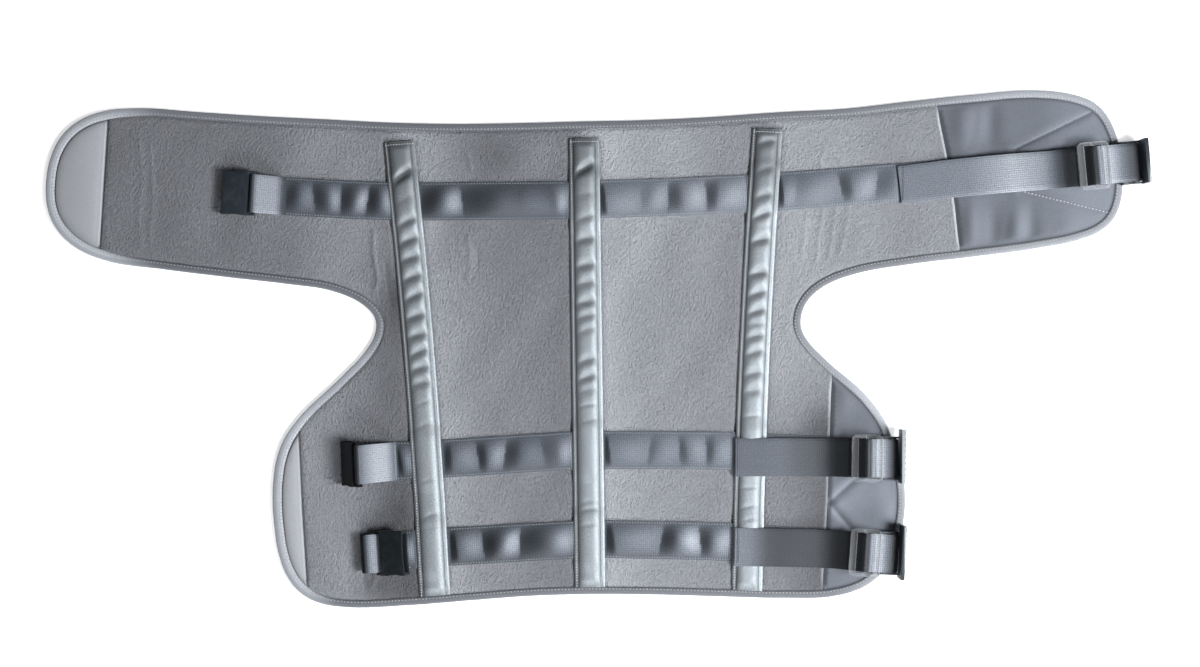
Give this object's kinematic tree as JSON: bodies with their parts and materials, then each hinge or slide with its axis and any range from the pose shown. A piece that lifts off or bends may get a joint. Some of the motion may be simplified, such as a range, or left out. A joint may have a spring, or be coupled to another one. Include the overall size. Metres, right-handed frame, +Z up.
{
  "type": "hip brace",
  "caption": "Soft hip brace laid flat: padded waist band and thigh wrap with bound edge, puckered stay channels and elastic straps ending in buckles and sliders.",
  "frame": {"origin": "middle of the overall plan, on the underside", "axes": "+X towards the prong buckles, +Y towards the waist band's upper edge, +Z up from the surface it lies on"},
  "size_m": [1.1, 0.5174, 0.0387],
  "materials": {
    "velour": "brushed velour",
    "smooth_cloth": "smooth knit over foam",
    "pale_cloth": "smooth pale knit",
    "binding_tape": "folded satin tape",
    "satin": "satin twill tape",
    "webbing": "ribbed elastic webbing",
    "dark_plastic": "moulded, fine grain",
    "clear_plastic": "clear moulded"
  },
  "bodies": {
    "root": {"panel": "velour", "waist_pad": "smooth_cloth", "thigh_pad": "smooth_cloth", "waist_tab": "pale_cloth", "thigh_tab": "pale_cloth", "edge_binding": "binding_tape", "waist_strap": "webbing", "thigh_strap_upper": "webbing", "thigh_strap_lower": "webbing", "stay_channel_left": "satin", "stay_channel_middle": "satin", "stay_channel_right": "satin", "waist_socket": "dark_plastic", "thigh_socket_upper": "dark_plastic", "thigh_socket_lower": "dark_plastic", "waist_prong": "dark_plastic", "thigh_prong_upper": "dark_plastic", "thigh_prong_lower": "dark_plastic", "waist_slider": "clear_plastic", "thigh_slider_upper": "clear_plastic", "thigh_slider_lower": "clear_plastic"}
  },
  "joints": []
}
